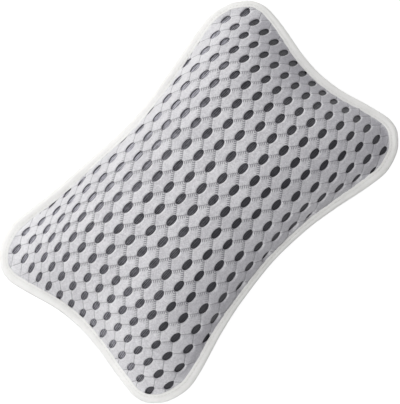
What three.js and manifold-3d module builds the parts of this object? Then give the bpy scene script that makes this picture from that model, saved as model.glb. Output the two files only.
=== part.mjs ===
// Bath pillow: a stuffed, bone-shaped spacer-mesh cushion with a bound edge, and
// four suction cups that turn in eyelets on its rear panel.
// Millimetres, +Z up. The pillow lies face up on its cup rims, which are at z = 0.
import * as THREE from "three";
import { mergeVertices } from "three/addons/utils/BufferGeometryUtils.js";
import Module from "manifold-3d";

// ---------------------------------------------------------------- dimensions
const LENGTH = 300; // over the binding, along X
const WIDTH = 190; // over the binding, along Y
const Z_REAR = 15; // rear panel, outer surface
const Z_SEAM = 43; // seam at the middle of the long sides
const SEAM_DROOP = 8; // the seam hangs this much lower at the ends
const Z_FRONT = 86; // front panel, outer surface at the crown

// One quadrant of the outline, as shares of half the length and half the width,
// from the middle of a long side to the middle of an end.
const OUTLINE = [
  [0.0, 0.832],
  [0.239, 0.863],
  [0.451, 0.916],
  [0.663, 0.981],
  [0.769, 1.0],
  [0.876, 0.962],
  [0.928, 0.914],
  [0.982, 0.822],
  [1.0, 0.718],
  [0.996, 0.633],
  [0.975, 0.464],
  [0.955, 0.338],
  [0.938, 0.212],
  [0.926, 0.0],
];

const FACE_T = 1.2; // openwork knit face
const SPACER_GAP = 1.2; // room for the spacer yarns
const BASE_T = 1.0; // fine knit base layer
const FLANGE_GAP = 0.3; // between the layers where the binding grips them
const FOOT_INSET = 8.0; // edge of the crown, from the outline
const FLANGE_INSET = 2.2; // raw edge of the panels, inside the binding
const BIND_W = 7.4; // folded binding, width on each face
const BIND_T = 0.9; // binding tape
const BIND_GROOVE = 3.0; // half height of the groove in the folded tape

const CORE_SHARE = 0.82; // foam core's outline, as a share of the crown's
const WAD_SHARE = 0.965; // wadding's outline
const WAD_GAP = 0.5;
const CORE_TOP = 73.5;
const CORE_BOTTOM = 27.5;

const CUP_X = 75; // suction cups, from the middle
const CUP_Y = 36;
const CUP_R = 25; // rim
const RIM_W = 2.4; // flat rim
const NECK_R = 4.2;
const KNOB_R = 7.2;
const BORE_R = 5.0; // eyelet bore
const BARREL_R = 6.5;
const HOLE_R = 6.8; // hole in patch and panel layers
const EYELET_R = 11;
const PATCH_R = 17;
const POCKET_R = 12.5; // clearance in the rear wadding
const TAB_W = 11; // release tab on the cup's rim
const TAB_REACH = 8;

const SECTORS = 40; // round the outline
const RINGS = [0.3, 0.52, 0.7, CORE_SHARE, 0.91, WAD_SHARE, 1.0];
const CUP_SIDES = 24;
const RING_SIDES = 16;

// ------------------------------------------------------------------ materials
const finish = (color, roughness, metalness = 0) =>
  new THREE.MeshStandardMaterial({ color, roughness, metalness });
const WHITE_KNIT = finish(0xdfe0e6, 0.9);
const GREY_KNIT = finish(0x55565c, 0.95);
const TAPE = finish(0xf1f1ee, 0.85);
const FOAM = finish(0xf3e9c8, 0.95);
const WADDING = finish(0xfafafa, 1.0);
const PATCH = finish(0xe4e4e6, 0.8);
const ACETAL = finish(0xf2f2f2, 0.35);
const VINYL = finish(0xd5dde2, 0.25);

// -------------------------------------------------------------------- outline
const corner = OUTLINE.map(([u, v]) => [(u * LENGTH) / 2, (v * WIDTH) / 2]);
const loop = [];
for (const [x, y] of corner) loop.push([x, y]);
for (const [x, y] of corner.slice(0, -1).reverse()) loop.push([x, -y]);
for (const [x, y] of corner.slice(1)) loop.push([-x, -y]);
for (const [x, y] of corner.slice(1, -1).reverse()) loop.push([-x, y]);
const outlineCurve = new THREE.CatmullRomCurve3(
  loop.map(([x, y]) => new THREE.Vector3(x, y, 0)),
  true,
  "centripetal",
);

// A fine polyline of the outline with outward normals and a bend at each point.
const FINE = 1200;
const fine = outlineCurve.getSpacedPoints(FINE).slice(0, FINE);
const normals = fine.map((p, i) => {
  const a = fine[(i + FINE - 3) % FINE],
    b = fine[(i + 3) % FINE];
  const n = new THREE.Vector2(-(b.y - a.y), b.x - a.x).normalize();
  return n.dot(new THREE.Vector2(p.x, p.y)) < 0 ? n.negate() : n;
});
const bend = normals.map((_, i) =>
  normals[(i + FINE - 3) % FINE].distanceTo(normals[(i + 3) % FINE]),
);

// Samples round the outline, closer together where it bends more: one quadrant,
// then its mirror images.
const QUARTER = FINE / 4;
const steps = [0];
for (let i = 0; i < QUARTER; i++)
  steps.push(steps[i] + 2 + 9 * (bend[i] + bend[i + 1]));
const first = [];
for (let k = 0; k <= SECTORS / 4; k++) {
  const want = (steps[QUARTER] * k) / (SECTORS / 4);
  first.push(steps.findIndex((w) => w >= want - 1e-6));
}
const samples = [
  ...first,
  ...first.slice(0, -1).reverse().map((i) => FINE / 2 - i),
  ...first.slice(1).map((i) => FINE / 2 + i),
  ...first.slice(1, -1).reverse().map((i) => FINE - i),
];
const insetPoint = (i, d) => [
  fine[i].x - normals[i].x * d,
  fine[i].y - normals[i].y * d,
];

// Half length at a given y, and half width at a given x, of the crown's edge.
const foot = fine.map((_, i) => insetPoint(i, FOOT_INSET));
const quadrant = foot.filter(([x, y]) => x >= -0.5 && y >= -0.5);
const topX = quadrant.reduce((m, p) => (p[1] > m[1] ? p : m));
const endY = quadrant.reduce((m, p) => (p[0] > m[0] ? p : m));
const upper = quadrant
  .filter(([x, y]) => y >= endY[1] - 1e-6)
  .sort((a, b) => a[0] - b[0]);
const right = quadrant
  .filter(([x, y]) => x >= topX[0] - 1e-6)
  .sort((a, b) => a[1] - b[1]);
const lookUp = (table, at, of, v) => {
  if (v <= table[0][at]) return table[0][of];
  for (let i = 1; i < table.length; i++)
    if (v <= table[i][at]) {
      const a = table[i - 1],
        b = table[i];
      const f = (v - a[at]) / Math.max(1e-9, b[at] - a[at]);
      return a[of] + (b[of] - a[of]) * f;
    }
  return table[table.length - 1][of];
};
const halfWidth = (x) => lookUp(upper, 0, 1, Math.abs(x));
const halfLength = (y) => lookUp(right, 1, 0, Math.abs(y));

// ------------------------------------------------------------ crowned surfaces
const seamZ = (x) => Z_SEAM - SEAM_DROOP * (x / (LENGTH / 2)) ** 2;
const shares = (x, y) => [
  Math.min(1, Math.abs(x) / halfLength(y)),
  Math.min(1, Math.abs(y) / halfWidth(x)),
];
// The front is crowned from a small flat top.
const frontCrown = (x, y) => {
  const [u, v] = shares(x, y);
  return (1 - u ** 3) ** 0.8 * (1 - v ** 3.3) ** 0.85;
};
// The rear is flat under the cups and rounds up to the seam.
const rearCrown = (x, y) => {
  const [u, v] = shares(x, y);
  const f = (s) => Math.min(1, Math.max(0, (s - 0.7) / 0.3));
  return (1 - f(u) ** 2.2) ** 0.65 * (1 - f(v) ** 2.2) ** 0.65;
};
const FLANGE_HALF = 1.5 * FLANGE_GAP + BASE_T + FACE_T; // 2.65
const frontZ = (x, y) => {
  const foot = seamZ(x) + FLANGE_HALF;
  return foot + frontCrown(x, y) * (Z_FRONT - foot);
};
const rearZ = (x, y) => {
  const foot = seamZ(x) - FLANGE_HALF;
  return foot - rearCrown(x, y) * (foot - Z_REAR);
};
// Height that a thickness measured square to the surface takes up.
const steep = (z, x, y) => {
  const h = 0.5;
  const sx = Math.sign(x) || 1,
    sy = Math.sign(y) || 1;
  const dx = (z(x - sx * h, y) - z(x, y)) / h;
  const dy = (z(x, y - sy * h) - z(x, y)) / h;
  return Math.sqrt(1 + Math.min(3, dx * dx + dy * dy));
};

// Height of a layer's surface: `depth` below the outer surface on the crown,
// drawn together to `packed` below it where the binding grips the layers.
const FULL_RISE = 10; // height above the seam where the layers lie fully apart
const layer = (side, depth, packed) => (x, y, share) => {
  const z = side > 0 ? frontZ : rearZ;
  const rise = side * (z(x, y) - seamZ(x)) - FLANGE_HALF;
  const apart = share >= 1 ? 0 : Math.min(1, Math.max(0, rise / FULL_RISE));
  const d = packed + (depth * steep(z, x, y) - packed) * apart;
  return z(x, y) - side * d;
};

// ----------------------------------------------------------------- mesh making
function solidFrom(positions, triangles) {
  const g = new THREE.BufferGeometry();
  g.setAttribute("position", new THREE.Float32BufferAttribute(positions, 3));
  g.setIndex(triangles);
  return g;
}

// The closed solid between two surfaces over the outline's sectors. `rings` are
// shares of the crown's edge; `flange` adds a flat margin out to that inset.
// `shut` draws the outermost ring together to one edge.
function between(top, bottom, rings, { flange = null, shut = false } = {}) {
  const pos = [],
    tri = [];
  const rows = rings.map((s) => ({ share: s, inset: null }));
  if (flange !== null) rows.push({ share: 1, inset: flange });
  const side = (surface) => {
    const start = pos.length / 3;
    pos.push(0, 0, surface(0, 0, 0));
    for (const row of rows)
      for (const i of samples) {
        const [fx, fy] = insetPoint(i, FOOT_INSET);
        let x = fx * row.share,
          y = fy * row.share,
          z = surface(x, y, row.share);
        if (row.inset !== null) {
          [x, y] = insetPoint(i, row.inset);
          z = surface(fx, fy, 1) + seamZ(x) - seamZ(fx);
        }
        pos.push(x, y, z);
      }
    return start;
  };
  const n = samples.length;
  const at = (start, r, k) => start + 1 + r * n + (k % n);
  const a = side(top),
    b = side(bottom);
  const last = rows.length - 1;
  const rim = (k) => at(shut ? a : b, last, k);
  // The samples run clockwise seen from above.
  for (let k = 0; k < n; k++) {
    tri.push(a, at(a, 0, k + 1), at(a, 0, k));
    tri.push(b, at(b, 0, k), at(b, 0, k + 1));
    for (let r = 0; r < last; r++) {
      const p = at(a, r, k),
        q = at(a, r, k + 1),
        s = at(a, r + 1, k),
        t = at(a, r + 1, k + 1);
      tri.push(p, q, s, q, t, s);
      const low = (ring, j) => (ring === last ? rim(j) : at(b, ring, j));
      const p2 = low(r, k),
        q2 = low(r, k + 1),
        s2 = low(r + 1, k),
        t2 = low(r + 1, k + 1);
      tri.push(p2, s2, q2, q2, s2, t2);
    }
    if (!shut) {
      const s = at(a, last, k),
        t = at(a, last, k + 1),
        s2 = at(b, last, k),
        t2 = at(b, last, k + 1);
      tri.push(s, t, s2, t, t2, s2);
    }
  }
  return solidFrom(pos, tri);
}

// A closed section carried round the outline. The section holds (out, up) points.
function roundTheEdge(section) {
  const pos = [],
    tri = [];
  const m = section.length,
    n = samples.length;
  for (const i of samples)
    for (const [out, up] of section) {
      const [x, y] = insetPoint(i, -out);
      pos.push(x, y, seamZ(x) + up);
    }
  for (let k = 0; k < n; k++)
    for (let j = 0; j < m; j++) {
      const a = k * m + j,
        b = k * m + ((j + 1) % m),
        c = ((k + 1) % n) * m + j,
        d = ((k + 1) % n) * m + ((j + 1) % m);
      tri.push(a, b, c, b, d, c);
    }
  return solidFrom(pos, tri);
}

// A profile of (radius, height) points turned about Z.
function turned(profile, sides) {
  const g = new THREE.LatheGeometry(
    profile.map(([r, z]) => new THREE.Vector2(r, z)),
    sides,
  );
  g.rotateX(Math.PI / 2);
  return g;
}

// ------------------------------------------------------------------- booleans
const wasm = await Module();
wasm.setup();
function toSolid(geometry) {
  const g = geometry.clone();
  g.deleteAttribute("normal");
  g.deleteAttribute("uv");
  const merged = mergeVertices(g, 1e-4);
  const index = new Uint32Array(merged.index.array);
  const make = () =>
    new wasm.Manifold(
      new wasm.Mesh({
        numProp: 3,
        vertProperties: new Float32Array(merged.attributes.position.array),
        triVerts: index,
      }),
    );
  const first = make();
  if (first.volume() >= 0) return first;
  for (let i = 0; i < index.length; i += 3)
    [index[i + 1], index[i + 2]] = [index[i + 2], index[i + 1]];
  return make();
}
function toGeometry(solid) {
  const m = solid.getMesh();
  const g = new THREE.BufferGeometry();
  const v = new Float32Array(m.numVert * 3);
  for (let i = 0; i < m.numVert; i++)
    v.set(m.vertProperties.subarray(i * m.numProp, i * m.numProp + 3), i * 3);
  g.setAttribute("position", new THREE.BufferAttribute(v, 3));
  g.setIndex(new THREE.BufferAttribute(new Uint32Array(m.triVerts), 1));
  return g;
}

// ------------------------------------------------------------------- assembly
const pillow = new THREE.Group();
pillow.name = "bath_pillow";
const add = (name, solid, material, parent = pillow) => {
  const geometry = toGeometry(solid);
  geometry.computeVertexNormals();
  const mesh = new THREE.Mesh(geometry, material);
  mesh.name = name;
  parent.add(mesh);
  return mesh;
};

const cups = [
  [1, 1],
  [-1, 1],
  [-1, -1],
  [1, -1],
].map(([sx, sy]) => ({
  x: sx * CUP_X,
  y: sy * CUP_Y,
  tab: Math.atan2(sy * 0.55, sx),
}));
const drill = (solid, radius, low, high) => {
  let out = solid;
  for (const { x, y } of cups) {
    const g = new THREE.CylinderGeometry(
      radius,
      radius,
      high - low,
      RING_SIDES,
    );
    g.rotateX(Math.PI / 2);
    g.translate(x, y, (low + high) / 2);
    out = out.subtract(toSolid(g));
  }
  return out;
};

// Panels: an openwork face over a fine base layer, front and rear.
const baseDepth = FACE_T + SPACER_GAP;
const panel = (side, from, to, packedFrom, packedTo) => {
  const outer = layer(side, from, packedFrom),
    inner = layer(side, to, packedTo);
  return toSolid(
    side > 0
      ? between(outer, inner, RINGS, { flange: FLANGE_INSET })
      : between(inner, outer, RINGS, { flange: FLANGE_INSET }),
  );
};
const packedBase = FACE_T + FLANGE_GAP;
add("front_mesh_face", panel(1, 0, FACE_T, 0, FACE_T), WHITE_KNIT);
add(
  "front_mesh_base",
  panel(1, baseDepth, baseDepth + BASE_T, packedBase, packedBase + BASE_T),
  GREY_KNIT,
);
add(
  "rear_mesh_face",
  drill(panel(-1, 0, FACE_T, 0, FACE_T), HOLE_R, 5, 25),
  WHITE_KNIT,
);
add(
  "rear_mesh_base",
  drill(
    panel(-1, baseDepth, baseDepth + BASE_T, packedBase, packedBase + BASE_T),
    HOLE_R,
    5,
    25,
  ),
  GREY_KNIT,
);

// Binding: tape folded over the four layers.
const half = BIND_GROOVE + BIND_T;
add(
  "edge_binding",
  toSolid(
    roundTheEdge([
      [-BIND_W, half],
      [-1.6, half],
      [-0.5, BIND_GROOVE],
      [0, 1.4],
      [0, -1.4],
      [-0.5, -BIND_GROOVE],
      [-1.6, -half],
      [-BIND_W, -half],
      [-BIND_W, -BIND_GROOVE],
      [-1.9, -BIND_GROOVE],
      [-1.0, -1.9],
      [-1.0, 1.9],
      [-1.9, BIND_GROOVE],
      [-BIND_W, BIND_GROOVE],
    ]),
  ),
  TAPE,
);

// Foam core, and wadding that wraps it front and rear.
const inCore = (x, y, share) => {
  const s = share / CORE_SHARE;
  return s < 1 ? [x / CORE_SHARE, y / CORE_SHARE] : null;
};
const coreTop = (x, y, share) => {
  const at = inCore(x, y, share),
    mid = seamZ(x);
  return at ? mid + frontCrown(...at) * (CORE_TOP - mid) : mid;
};
const coreBottom = (x, y, share) => {
  const at = inCore(x, y, share),
    mid = seamZ(x);
  return at ? mid - rearCrown(...at) * (mid - CORE_BOTTOM) : mid;
};
const coreRings = RINGS.filter((s) => s <= CORE_SHARE);
add(
  "foam_core",
  toSolid(between(coreTop, coreBottom, coreRings, { shut: true })),
  FOAM,
);
// The wadding's own edge is feathered down to the seam's height.
const wadRings = RINGS.filter((s) => s <= WAD_SHARE);
const wadDepth = baseDepth + BASE_T + WAD_GAP;
const wadPacked = packedBase + BASE_T + WAD_GAP;
const under = layer(1, wadDepth, wadPacked);
const over = layer(-1, wadDepth, wadPacked);
add(
  "front_wadding",
  toSolid(
    between(
      (x, y, s) => (s >= WAD_SHARE ? seamZ(x) + WAD_GAP : under(x, y, s)),
      (x, y, s) => coreTop(x, y, s) + WAD_GAP,
      wadRings,
      { shut: true },
    ),
  ),
  WADDING,
);
add(
  "rear_wadding",
  drill(
    toSolid(
      between(
        (x, y, s) => coreBottom(x, y, s) - WAD_GAP,
        (x, y, s) => over(x, y, s),
        wadRings,
        { shut: true },
      ),
    ),
    POCKET_R,
    10,
    40,
  ),
  WADDING,
);

// At each cup: patch, eyelet and washer on the pillow, and the cup that turns.
const patchProfile = [
  [HOLE_R, 14.0],
  [PATCH_R, 14.0],
  [PATCH_R, 14.7],
  [HOLE_R, 14.7],
  [HOLE_R, 14.0],
];
const eyeletProfile = [
  [BORE_R, 12.6],
  [EYELET_R - 0.5, 12.6],
  [EYELET_R, 13.0],
  [EYELET_R, 13.7],
  [BARREL_R, 13.7],
  [BARREL_R, 19.8],
  [8.4, 19.8],
  [8.4, 20.3],
  [7.9, 20.6],
  [BORE_R, 20.6],
  [BORE_R, 12.6],
];
const washerProfile = [
  [HOLE_R, 18.7],
  [EYELET_R, 18.7],
  [EYELET_R, 19.5],
  [HOLE_R, 19.5],
  [HOLE_R, 18.7],
];
const cupProfile = [
  [0, 8.2],
  [7, 8.0],
  [12.5, 6.6],
  [17.5, 4.6],
  [21, 2.2],
  [CUP_R - RIM_W, 0],
  [CUP_R, 0],
  [CUP_R + 0.2, 0.8],
  [23.6, 2.4],
  [19, 6.4],
  [14, 9.2],
  [9, 11.0],
  [8.2, 11.9],
  [NECK_R, 11.9],
  [NECK_R, 21.0],
  [KNOB_R, 21.0],
  [KNOB_R + 0.2, 22.2],
  [6.2, 24.4],
  [3.2, 25.6],
  [0, 26.0],
];
const tabShape = new THREE.Shape();
tabShape.moveTo(CUP_R - 2.0, -TAB_W / 2);
tabShape.lineTo(CUP_R + TAB_REACH - TAB_W / 2, -TAB_W / 2);
tabShape.absarc(
  CUP_R + TAB_REACH - TAB_W / 2,
  0,
  TAB_W / 2,
  -Math.PI / 2,
  Math.PI / 2,
);
tabShape.lineTo(CUP_R - 2.0, TAB_W / 2);
tabShape.closePath();

cups.forEach(({ x, y, tab }, i) => {
  const n = i + 1;
  const station = new THREE.Group();
  station.position.set(x, y, 0);
  pillow.add(station);
  add(
    "cup_patch_" + n,
    toSolid(turned(patchProfile, RING_SIDES + 4)),
    PATCH,
    station,
  );
  add(
    "cup_eyelet_" + n,
    toSolid(turned(eyeletProfile, RING_SIDES)),
    ACETAL,
    station,
  );
  add(
    "cup_washer_" + n,
    toSolid(turned(washerProfile, RING_SIDES)),
    ACETAL,
    station,
  );
  const tabGeometry = new THREE.ExtrudeGeometry(tabShape, {
    depth: 1.4,
    bevelEnabled: false,
    curveSegments: 6,
  });
  tabGeometry.translate(0, 0, 0.7);
  tabGeometry.rotateZ(tab);
  add(
    "suction_cup_" + n,
    toSolid(turned(cupProfile, CUP_SIDES)).add(toSolid(tabGeometry)),
    VINYL,
    station,
  );
});

export default pillow;
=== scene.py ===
"""Bath pillow: openwork spacer-mesh panels over a padded core, a bound and topstitched
edge, and four suction cups that turn in eyelets on the rear panel.

Lengths in the helper functions are millimetres; meshes are made in metres.
"""
import math

import bmesh
import bpy
import numpy as np
from mathutils import Matrix, Vector
from mathutils.bvhtree import BVHTree
from mathutils.kdtree import KDTree


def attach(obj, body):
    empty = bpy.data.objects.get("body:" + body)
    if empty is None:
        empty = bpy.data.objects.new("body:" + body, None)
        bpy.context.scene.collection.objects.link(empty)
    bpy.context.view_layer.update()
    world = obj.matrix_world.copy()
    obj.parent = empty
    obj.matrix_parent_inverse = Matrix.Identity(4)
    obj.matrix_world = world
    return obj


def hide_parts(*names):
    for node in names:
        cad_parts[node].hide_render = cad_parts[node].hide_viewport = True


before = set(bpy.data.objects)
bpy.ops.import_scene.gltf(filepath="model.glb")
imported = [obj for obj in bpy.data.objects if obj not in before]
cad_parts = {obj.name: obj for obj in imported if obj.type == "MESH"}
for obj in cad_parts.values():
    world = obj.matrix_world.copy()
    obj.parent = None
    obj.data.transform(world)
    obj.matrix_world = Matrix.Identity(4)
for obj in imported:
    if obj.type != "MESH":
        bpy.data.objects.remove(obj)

MM = 0.001
scene = bpy.context.scene
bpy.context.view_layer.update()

# --------------------------------------------------------------------- dimensions
LENGTH, WIDTH = 300.0, 190.0
Z_REAR, Z_SEAM, DROOP, Z_FRONT = 15.0, 43.0, 8.0, 86.0
FLANGE_HALF = 2.65
FOOT_INSET = 8.0
FLANGE_INSET = 2.2
FACE_T, SPACER_GAP, BASE_T, FLANGE_GAP = 1.2, 1.2, 1.0, 0.3
CORE_SHARE, WAD_SHARE, WAD_GAP = 0.82, 0.965, 0.5
CORE_TOP, CORE_BOTTOM = 73.5, 27.5
CUPS = [(75.0, 36.0), (-75.0, 36.0), (-75.0, -36.0), (75.0, -36.0)]
OUTLINE = [
    (0.0, 0.832), (0.239, 0.863), (0.451, 0.916), (0.663, 0.981), (0.769, 1.0),
    (0.876, 0.962), (0.928, 0.914), (0.982, 0.822), (1.0, 0.718), (0.996, 0.633),
    (0.975, 0.464), (0.955, 0.338), (0.938, 0.212), (0.926, 0.0),
]


# ------------------------------------------------------------------------ outline
def outline_loop(n):
    q = [(u * LENGTH / 2, v * WIDTH / 2) for u, v in OUTLINE]
    loop = q + [(x, -y) for x, y in q[:-1][::-1]]
    loop += [(-x, -y) for x, y in q[1:]] + [(-x, y) for x, y in q[1:-1][::-1]]
    pts = np.array(loop)
    m = len(pts)
    out = []
    t = np.linspace(0, 1, 60, endpoint=False)[:, None]
    for k in range(m):
        p0, p1, p2, p3 = pts[k - 1], pts[k], pts[(k + 1) % m], pts[(k + 2) % m]
        d0, d1, d2 = (
            np.sqrt(np.linalg.norm(b - a)) for a, b in ((p0, p1), (p1, p2), (p2, p3))
        )
        t1 = ((p1 - p0) / d0 - (p2 - p0) / (d0 + d1) + (p2 - p1) / d1) * d1
        t2 = ((p2 - p1) / d1 - (p3 - p1) / (d1 + d2) + (p3 - p2) / d2) * d1
        out.append(
            p1 + t1 * t + (-3 * p1 + 3 * p2 - 2 * t1 - t2) * t**2
            + (2 * p1 - 2 * p2 + t1 + t2) * t**3
        )
    d = np.concatenate(out)
    d = np.concatenate([d, d[:1]])
    s = np.concatenate([[0], np.cumsum(np.linalg.norm(np.diff(d, axis=0), axis=1))])
    u = np.linspace(0, s[-1], n, endpoint=False)
    return np.stack([np.interp(u, s, d[:, 0]), np.interp(u, s, d[:, 1])], 1), s[-1]


def normals_of(p, k=3):
    t = np.roll(p, -k, 0) - np.roll(p, k, 0)
    n = np.stack([-t[:, 1], t[:, 0]], 1)
    n /= np.linalg.norm(n, axis=1)[:, None]
    return n * np.sign((n * p).sum(1))[:, None]


FINE, PERIMETER = outline_loop(1200)
NORM = normals_of(FINE)


def inset(d):
    return FINE - NORM * d


def edge_tables(d):
    f = inset(d)
    q = f[(f[:, 0] >= -0.5) & (f[:, 1] >= -0.5)]
    top, end = q[np.argmax(q[:, 1])], q[np.argmax(q[:, 0])]
    up = q[q[:, 1] >= end[1] - 1e-6]
    side = q[q[:, 0] >= top[0] - 1e-6]
    return up[np.argsort(up[:, 0])], side[np.argsort(side[:, 1])]


UP, SIDE = edge_tables(FOOT_INSET)


def half_width(x):
    return np.interp(np.abs(x), UP[:, 0], UP[:, 1])


def half_length(y):
    return np.interp(np.abs(y), SIDE[:, 1], SIDE[:, 0])


def polar_radius(d):
    """Radius of the outline, inset by d, as a function of the angle from the middle."""
    f = inset(d)
    a = np.arctan2(f[:, 1], f[:, 0])
    o = np.argsort(a)
    a, r = a[o], np.hypot(f[o, 0], f[o, 1])
    a = np.concatenate([a - 2 * np.pi, a, a + 2 * np.pi])
    r = np.concatenate([r, r, r])
    return lambda x, y: np.interp(np.arctan2(y, x), a, r)


R_FOOT = polar_radius(FOOT_INSET)
R_PANEL = polar_radius(3.0)


def smooth(t):
    t = np.clip(t, 0, 1)
    return t * t * (3 - 2 * t)


# ---------------------------------------------------------------- crowned surfaces
def seam_z(x):
    return Z_SEAM - DROOP * (x / (LENGTH / 2)) ** 2


def shares(x, y):
    return (
        np.minimum(1, np.abs(x) / half_length(y)),
        np.minimum(1, np.abs(y) / half_width(x)),
    )


def front_crown(x, y):
    u, v = shares(x, y)
    return (1 - u**3) ** 0.8 * (1 - v**3.3) ** 0.85


def rear_crown(x, y):
    u, v = shares(x, y)
    f = lambda s: np.clip((s - 0.7) / 0.3, 0, 1)
    return (1 - f(u) ** 2.2) ** 0.65 * (1 - f(v) ** 2.2) ** 0.65


def plain_z(side, x, y):
    if side > 0:
        foot = seam_z(x) + FLANGE_HALF
        return foot + front_crown(x, y) * (Z_FRONT - foot)
    foot = seam_z(x) - FLANGE_HALF
    return foot - rear_crown(x, y) * (foot - Z_REAR)


# ---------------------------------------------------------------- small mesh tools
def new_object(name, verts, faces, materials=(), uvs=None, sharp=None, face_mats=None):
    """A mesh object from points in millimetres. uvs is {name: one (u, v) per corner}."""
    mesh = bpy.data.meshes.new(name)
    mesh.from_pydata((np.asarray(verts) * MM).tolist(), [], faces)
    for key, values in (uvs or {}).items():
        layer = mesh.uv_layers.new(name=key)
        layer.data.foreach_set("uv", np.asarray(values, np.float32).ravel())
    mesh.polygons.foreach_set("use_smooth", np.ones(len(mesh.polygons), bool))
    if face_mats is not None:
        mesh.polygons.foreach_set("material_index", np.asarray(face_mats, np.int32))
    for m in materials:
        mesh.materials.append(m)
    mesh.update()
    if sharp is not None:
        mesh.set_sharp_from_angle(angle=math.radians(sharp))
    obj = bpy.data.objects.new(name, mesh)
    scene.collection.objects.link(obj)
    return obj


def evaluated_mesh(obj):
    dg = bpy.context.evaluated_depsgraph_get()
    return bpy.data.meshes.new_from_object(obj.evaluated_get(dg), depsgraph=dg)


def boolean(obj, other, operation, sharp):
    """Joins or cuts obj with other, keeps the result as obj's mesh and drops other."""
    mod = obj.modifiers.new("cut", "BOOLEAN")
    mod.operation, mod.object, mod.solver = operation, other, "EXACT"
    bpy.context.view_layer.update()
    mesh = evaluated_mesh(obj)
    obj.modifiers.clear()
    old, obj.data = obj.data, mesh
    bpy.data.meshes.remove(old)
    old = other.data
    bpy.data.objects.remove(other)
    bpy.data.meshes.remove(old)
    mesh.polygons.foreach_set("use_smooth", np.ones(len(mesh.polygons), bool))
    mesh.set_sharp_from_angle(angle=math.radians(sharp))
    return obj


def soften(profile, radius, steps=4, closed=True):
    """Rounds the corners of a polyline of (r, z) points."""
    pts = [np.array(p, float) for p in profile]
    n = len(pts)
    out = []
    for k, p in enumerate(pts):
        if not closed and k in (0, n - 1):
            out.append(p)
            continue
        a, b = pts[k - 1] - p, pts[(k + 1) % n] - p
        la, lb = np.linalg.norm(a), np.linalg.norm(b)
        d = min(radius, 0.45 * la, 0.45 * lb)
        q0, q1 = p + a / la * d, p + b / lb * d
        for t in np.linspace(0, 1, steps):
            out.append((1 - t) ** 2 * q0 + 2 * t * (1 - t) * p + t * t * q1)
    return np.array(out)


def turned(name, profile, sides, centre, materials, closed=True, sharp=40, wave=None):
    """A profile of (r, z) points turned about an upright axis through centre."""
    pts = np.asarray(profile, float)
    ang = np.linspace(0, 2 * np.pi, sides, endpoint=False)
    verts, rows = [], []
    for k, (r, z) in enumerate(pts):
        if r < 1e-6:
            rows.append([len(verts)])
            verts.append((centre[0], centre[1], z))
            continue
        rows.append(list(range(len(verts), len(verts) + sides)))
        dz = wave(k, ang) if wave else np.zeros(sides)
        for a, w in zip(ang, dz):
            verts.append((centre[0] + r * math.cos(a), centre[1] + r * math.sin(a), z + w))
    faces = []
    n = len(rows)
    for k in range(n if closed else n - 1):
        a, b = rows[k], rows[(k + 1) % n]
        for s in range(sides):
            t = (s + 1) % sides
            if len(a) == 1 and len(b) == 1:
                continue
            if len(a) == 1:
                faces.append((a[0], b[t], b[s]))
            elif len(b) == 1:
                faces.append((a[s], a[t], b[0]))
            else:
                faces.append((a[s], a[t], b[t], b[s]))
    # Faces point out when the profile runs with the solid on its left.
    v = np.array(verts)
    tri = np.array([(f[0], f[k], f[k + 1]) for f in faces for k in range(1, len(f) - 1)])
    if (v[tri[:, 0]] * np.cross(v[tri[:, 1]], v[tri[:, 2]])).sum() < 0:
        faces = [f[::-1] for f in faces]
    return new_object(name, verts, faces, materials, sharp=sharp)


# ------------------------------------------------------------------ padded swelling
STEP = 3.0
GX = np.arange(-153, 154, STEP)
GY = np.arange(-99, 100, STEP)


def blur(field, sigma):
    r = int(3 * sigma + 1)
    k = np.exp(-0.5 * (np.arange(-r, r + 1) / sigma) ** 2)
    k /= k.sum()
    f = np.pad(field, r, mode="edge")
    f = np.apply_along_axis(lambda a: np.convolve(a, k, "valid"), 0, f)
    return np.apply_along_axis(lambda a: np.convolve(a, k, "valid"), 1, f)


def sample(field, x, y):
    fx = np.clip((x - GX[0]) / STEP, 0, len(GX) - 1.001)
    fy = np.clip((y - GY[0]) / STEP, 0, len(GY) - 1.001)
    i, j = fx.astype(int), fy.astype(int)
    a, b = fx - i, fy - j
    return (
        field[i, j] * (1 - a) * (1 - b) + field[i + 1, j] * a * (1 - b)
        + field[i, j + 1] * (1 - a) * b + field[i + 1, j + 1] * a * b
    )


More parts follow.
